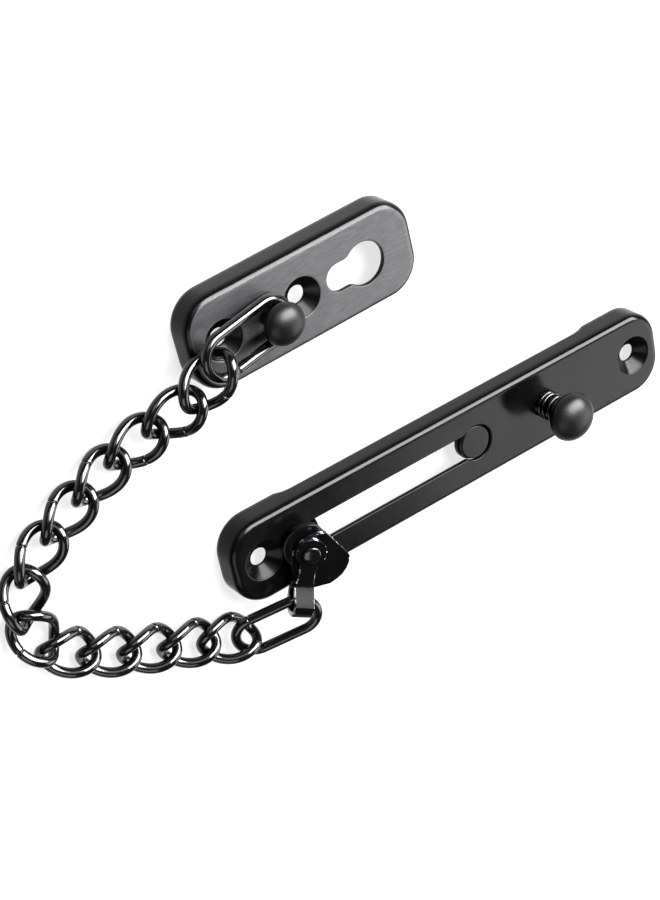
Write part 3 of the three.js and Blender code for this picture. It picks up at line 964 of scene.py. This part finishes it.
def reach_across(outline, x):
    """The lowest and highest points of a convex outline at one x."""
    found = []
    for first, second in zip(outline, outline[1:] + outline[:1]):
        low, high = sorted((first, second), key=lambda point: point.x)
        if low.x <= x <= high.x and high.x > low.x:
            found.append(low.lerp(high, (x - low.x) / (high.x - low.x)).y)
    return min(found), max(found)


def strap_edges(x, upper):
    """The strap's right and left edges at a distance from the rivet."""
    if x >= STRAP_BEND:
        return -STRAP_HALF_WIDTH, STRAP_HALF_WIDTH
    if not upper:
        return reach_across(LOWER_LEG, x)
    waist = WAIST_DEPTH * math.exp(-(((x - WAIST_X) / WAIST_REACH) ** 2))
    half = math.sqrt(max(TOP_LOBE_RADIUS * TOP_LOBE_RADIUS - x * x, 1e-4))
    if x > 0:
        half = max(half, STRAP_HALF_WIDTH - waist)
    return -half, half


LOWER_LEG = lower_leg()


def slider_clevis():
    """A strap folded round the end link, with both ends on the rivet."""
    shell = Shell()
    path = strap_path()
    half = STRAP_THICKNESS / 2
    rows = []
    for i, point in enumerate(path):
        along = path[min(i + 1, len(path) - 1)] - path[max(i - 1, 0)]
        out = np.array([-along[1], along[0]]) / np.linalg.norm(along)
        right, left = strap_edges(point[0], i > len(path) / 2)
        wander = abs(torn(point[0] + point[1]))
        right += wander
        left -= wander
        inset = min(STRAP_EASE, (left - right) / 4)
        flank = half - STRAP_EASE
        section = [
            (-half, right + inset),
            (-half, left - inset),
            (-flank, left),
            (flank, left),
            (half, left - inset),
            (half, right + inset),
            (flank, right),
            (-flank, right),
        ]
        middle = [(point + out * side, across) for side, across in section]
        rows.append(shell.loop([(at[0], across, at[1]) for at, across in middle]))
    shell.bands(rows)
    shell.fill(rows[0])
    shell.fill(rows[-1])
    strap = shell.build("slider_clevis_look", slider_place @ turn_about_stud(STRAP_TURN))
    drill(strap, RIVET_RADIUS + GAP, LOWER_Z - 2, UPPER_Z + 2)
    mark_torn_edges(strap)
    return settle(strap)


def drill(piece, radius, low, high):
    """A round hole about the piece's own Z axis, cut into its mesh."""
    shell = Shell()
    rows = [shell.loop([(x, y, z) for x, y in circle(0, radius, 48)]) for z in (low, high)]
    shell.bands(rows)
    for row in rows:
        shell.fill(row)
    cutter = shell.build("drill", piece.matrix_world.copy())
    cut = piece.modifiers.new("hole", "BOOLEAN")
    cut.operation = "DIFFERENCE"
    cut.solver = "EXACT"
    cut.object = cutter
    bpy.context.view_layer.update()
    evaluated = piece.evaluated_get(bpy.context.evaluated_depsgraph_get())
    mesh = bpy.data.meshes.new_from_object(evaluated)
    piece.modifiers.clear()
    piece.data = mesh
    bpy.data.objects.remove(cutter)


def mark_torn_edges(piece):
    """The strap's cut edges take the second material: its sides, and its round ends."""
    for face in piece.data.polygons:
        side = abs(face.normal.y) > 0.7
        end = abs(face.normal.z) < 0.4 and face.center.x < STRAP_BEND * MM
        face.material_index = 1 if side or end else 0


finish(slider_stud(), "slider_stud", "slider", "black_polish", WIRE_BLACK)
collar = finish(slider_collar(), "slider_collar", "slider", "black_polish", PLATE_BLACK)
clevis = finish(slider_clevis(), "slider_clevis", "clevis", "black_coat", STRAP_BLACK, SHEARED_PAINTED_GLINT)
for piece in (collar, clevis):
    piece.data.set_sharp_from_angle(angle=math.radians(40))

# ------------------------------------------------------------------ links

for number in range(LINK_COUNT, 0, -1):
    node = f"chain_link_{number:02d}"
    link = wire_ring(f"{node}_look", curb, CURB_SEAM, node_axes(node))
    finish(link, node, node, "black_polish", WIRE_BLACK)

end_link = wire_ring("end_link_look", oval(*LONG_LINK), OVAL_SEAM, node_axes("end_link"))
finish(end_link, "end_link", "end_link", "black_polish", WIRE_BLACK)
keeper_ring = oval(*KEEPER_LINK)
keeper_link = wire_ring("keeper_link_look", keeper_ring, OVAL_SEAM, node_axes("keeper_link"))
finish(keeper_link, "keeper_link", "keeper_link", "black_polish", WIRE_BLACK)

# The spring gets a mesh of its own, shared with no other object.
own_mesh(spring)

# ------------------------------------------------------------------ floor and light

FLOOR_SIZE = 6
FLOOR_GLOW = 0.75
ROOM_LIGHT = 0.12


def floor():
    """A wide pale surface, lit from behind like a light table so that shadows stay pale."""
    bpy.ops.mesh.primitive_grid_add(x_subdivisions=4, y_subdivisions=4, size=FLOOR_SIZE)
    surface = bpy.context.object
    surface.name = "floor"
    material, tree, shader, coordinates = new_material("floor_paper", PAPER_DARK, 0.6, 0.0)
    tone = spread(tree, noise(tree, coordinates, PAPER_SCALE, 3), 0, 1)
    paper = colour_between(tree, tone, PAPER_DARK, PAPER_LIGHT)
    tree.links.new(paper, shader.inputs["Base Color"])
    shader.inputs["Emission Color"].default_value = (1, 1, 1, 1)
    shader.inputs["Emission Strength"].default_value = FLOOR_GLOW
    surface.data.materials.append(material)


def softbox(name, direction, distance, width, height, watts):
    """A rectangular light that faces the track plate, its width along the track."""
    data = bpy.data.lights.new(name, "AREA")
    data.shape = "RECTANGLE"
    data.size = width
    data.size_y = height
    data.energy = watts
    light = bpy.data.objects.new(name, data)
    bpy.context.scene.collection.objects.link(light)
    toward = Vector(direction).normalized()
    across = (Vector((1, 0, 0)) - toward * toward.x).normalized()
    light.matrix_world = Matrix.Translation(TRACK_AT + toward * distance) @ Matrix(
        (across, toward.cross(across), toward)
    ).transposed().to_4x4()


def studio():
    """A dim room with four soft lights."""
    bpy.context.scene.view_settings.view_transform = "Standard"
    world = bpy.data.worlds.new("studio")
    bpy.context.scene.world = world
    world.use_nodes = True
    background = world.node_tree.nodes["Background"]
    background.inputs["Color"].default_value = (1, 1, 1, 1)
    background.inputs["Strength"].default_value = ROOM_LIGHT
    # Seen in the track's face, from the middle of the slot to the latch's end.
    softbox("face light", (0.85, -0.5, 0.68), distance=1.1, width=0.8, height=0.7, watts=13)
    # Seen as the bright line along the track's far rolled edge.
    softbox("edge light", (0.45, 0.45, 0.78), distance=1.0, width=1.1, height=0.65, watts=145)
    softbox("left light", (-0.9, -0.5, 0.9), distance=1.3, width=0.8, height=0.8, watts=8)
    softbox("back light", (-0.35, 0.9, 1.0), distance=1.4, width=0.8, height=0.8, watts=8)


floor()
studio()
